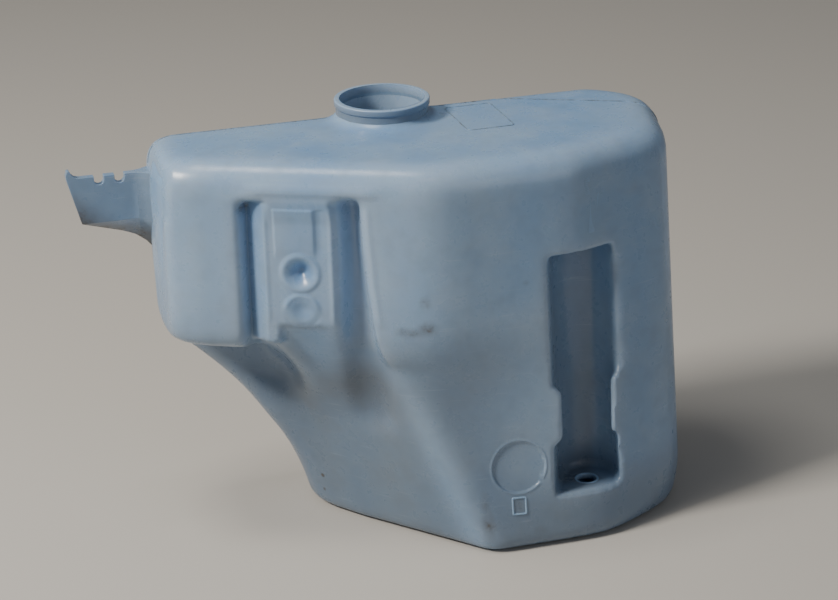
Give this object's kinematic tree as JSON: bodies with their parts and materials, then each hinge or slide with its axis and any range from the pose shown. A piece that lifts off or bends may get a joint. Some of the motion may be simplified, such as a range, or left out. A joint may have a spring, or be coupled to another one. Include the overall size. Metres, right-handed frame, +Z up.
{
  "type": "washer fluid reservoir",
  "caption": "Hollow blow-moulded washer fluid tank with a filler neck, an upright pump recess with a grommet hole, a screw pad in a channel and a hose tab.",
  "frame": {"origin": "on the base plane, under the middle of the overall box", "axes": "+Z up, out of the filler neck; -Y is the front, with the screw pad and the pump recess; +X runs from the hose tab to the pump end"},
  "size_m": [0.3088, 0.153, 0.22],
  "materials": {
    "hdpe": "waxy satin blow-moulded polyethylene, lightly soiled"
  },
  "bodies": {
    "root": {"tank": "hdpe"}
  },
  "joints": []
}
